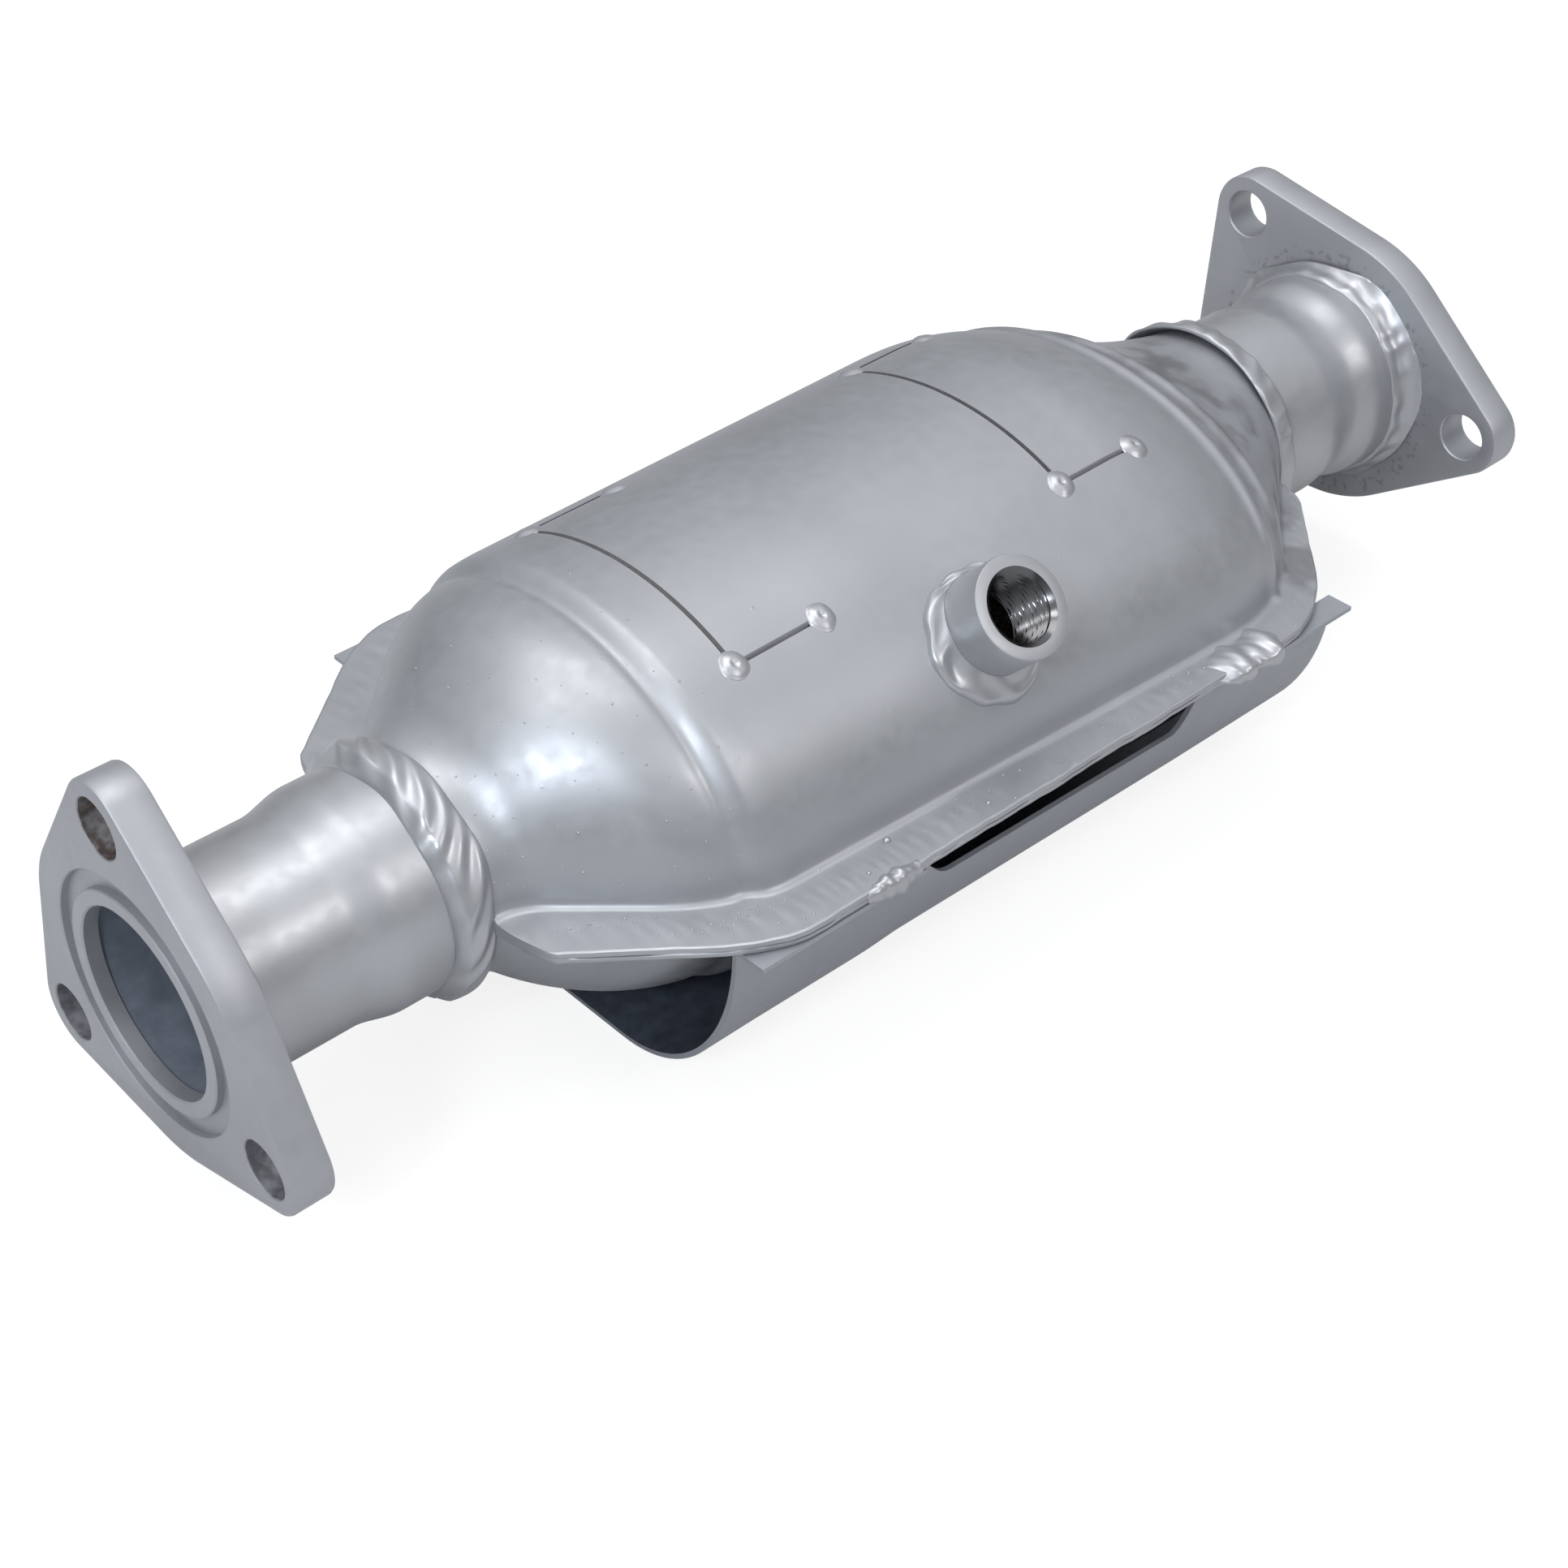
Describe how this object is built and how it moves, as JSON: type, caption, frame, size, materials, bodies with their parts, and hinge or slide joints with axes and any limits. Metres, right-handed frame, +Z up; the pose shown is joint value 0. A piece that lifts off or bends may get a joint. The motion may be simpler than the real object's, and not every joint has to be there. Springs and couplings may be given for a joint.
{
  "type": "catalytic converter",
  "caption": "Underfloor catalytic converter with a stamped two-half body, a flange at each end, a sensor bung and a heat shield below.",
  "frame": {"origin": "centre of the inlet flange's front face", "axes": "+X along the pipe from the inlet to the outlet, +Z up at right angles to the seam plane, sensor bung on the -Y side"},
  "size_m": [0.4, 0.1635, 0.1101],
  "materials": {
    "body_paint": "satin silver heat paint over stamped sheet",
    "pipe_paint": "satin silver heat paint over tube",
    "flange_paint": "satin silver heat paint over plate",
    "shield_paint": "satin silver heat paint over thin sheet",
    "weld_paint": "satin silver heat paint over rippled weld",
    "bung_steel": "turned steel, painted outside",
    "substrate": "matt fired ceramic honeycomb",
    "mat_fibre": "pressed fibre"
  },
  "bodies": {
    "root": {"upper_shell": "body_paint", "lower_shell": "body_paint", "inlet_pipe": "pipe_paint", "outlet_pipe": "pipe_paint", "inlet_flange": "flange_paint", "outlet_flange": "flange_paint", "sensor_bung": "bung_steel", "heat_shield": "shield_paint", "front_brick": "substrate", "rear_brick": "substrate", "front_mat": "mat_fibre", "rear_mat": "mat_fibre", "inlet_flange_weld": "weld_paint", "inlet_pipe_weld": "weld_paint", "outlet_pipe_weld": "weld_paint", "outlet_flange_weld": "weld_paint", "bung_weld": "weld_paint", "plug_welds": "weld_paint", "shield_weld_front_left": "weld_paint", "shield_weld_front_right": "weld_paint", "shield_weld_rear_left": "weld_paint", "shield_weld_rear_right": "weld_paint"}
  },
  "joints": []
}
